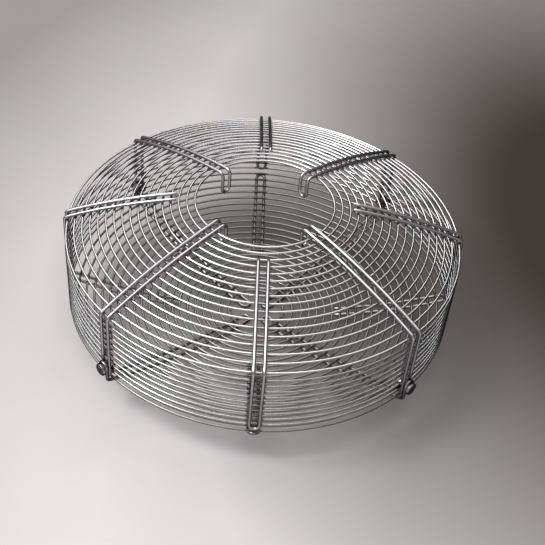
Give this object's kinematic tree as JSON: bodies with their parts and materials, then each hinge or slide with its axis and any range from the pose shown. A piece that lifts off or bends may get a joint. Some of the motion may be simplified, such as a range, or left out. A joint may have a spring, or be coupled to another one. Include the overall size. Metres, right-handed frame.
{
  "type": "wire fan guard",
  "caption": "Round welded wire cage for an axial fan, with a motor opening between four hooks and a domed grille bolted over its mouth.",
  "frame": {"origin": "on the axis of the cage, at the height of its lowest point, the inner bends of the grille's ribs", "axes": "+Z is the fan's axis, from the grille up to the motor opening; the hooks stand on the diagonals of X and Y"},
  "size_m": [0.5114, 0.5114, 0.2006],
  "materials": {
    "ring_wire": "bright zinc plated wire",
    "rib_wire": "bright zinc plated wire",
    "fastener": "zinc plated steel"
  },
  "bodies": {
    "root": {"crown_ring_01": "ring_wire", "crown_ring_02": "ring_wire", "crown_ring_03": "ring_wire", "crown_ring_04": "ring_wire", "crown_ring_05": "ring_wire", "crown_ring_06": "ring_wire", "crown_ring_07": "ring_wire", "crown_ring_08": "ring_wire", "crown_ring_09": "ring_wire", "crown_ring_10": "ring_wire", "crown_ring_11": "ring_wire", "crown_ring_12": "ring_wire", "crown_ring_13": "ring_wire", "crown_ring_14": "ring_wire", "crown_ring_15": "ring_wire", "crown_ring_16": "ring_wire", "crown_ring_17": "ring_wire", "wall_ring_1": "ring_wire", "wall_ring_2": "ring_wire", "wall_ring_3": "ring_wire", "wall_ring_4": "ring_wire", "wall_ring_5": "ring_wire", "wall_ring_6": "ring_wire", "wall_ring_7": "ring_wire", "wall_ring_8": "ring_wire", "wall_ring_9": "ring_wire", "grille_ring_01": "ring_wire", "grille_ring_02": "ring_wire", "grille_ring_03": "ring_wire", "grille_ring_04": "ring_wire", "grille_ring_05": "ring_wire", "grille_ring_06": "ring_wire", "grille_ring_07": "ring_wire", "grille_ring_08": "ring_wire", "grille_ring_09": "ring_wire", "grille_ring_10": "ring_wire", "grille_ring_11": "ring_wire", "grille_ring_12": "ring_wire", "grille_ring_13": "ring_wire", "grille_ring_14": "ring_wire", "grille_ring_15": "ring_wire", "grille_ring_16": "ring_wire", "grille_ring_17": "ring_wire", "grille_ring_18": "ring_wire", "grille_ring_19": "ring_wire", "grille_ring_20": "ring_wire", "grille_ring_21": "ring_wire", "hook_rib_1": "rib_wire", "hook_rib_2": "rib_wire", "hook_rib_3": "rib_wire", "hook_rib_4": "rib_wire", "crown_plain_ribs": "rib_wire", "grille_long_ribs": "rib_wire", "grille_short_ribs": "rib_wire", "clamp_bolts": "fastener", "outer_washers": "fastener", "inner_washers": "fastener", "clamp_nuts": "fastener"}
  },
  "joints": []
}
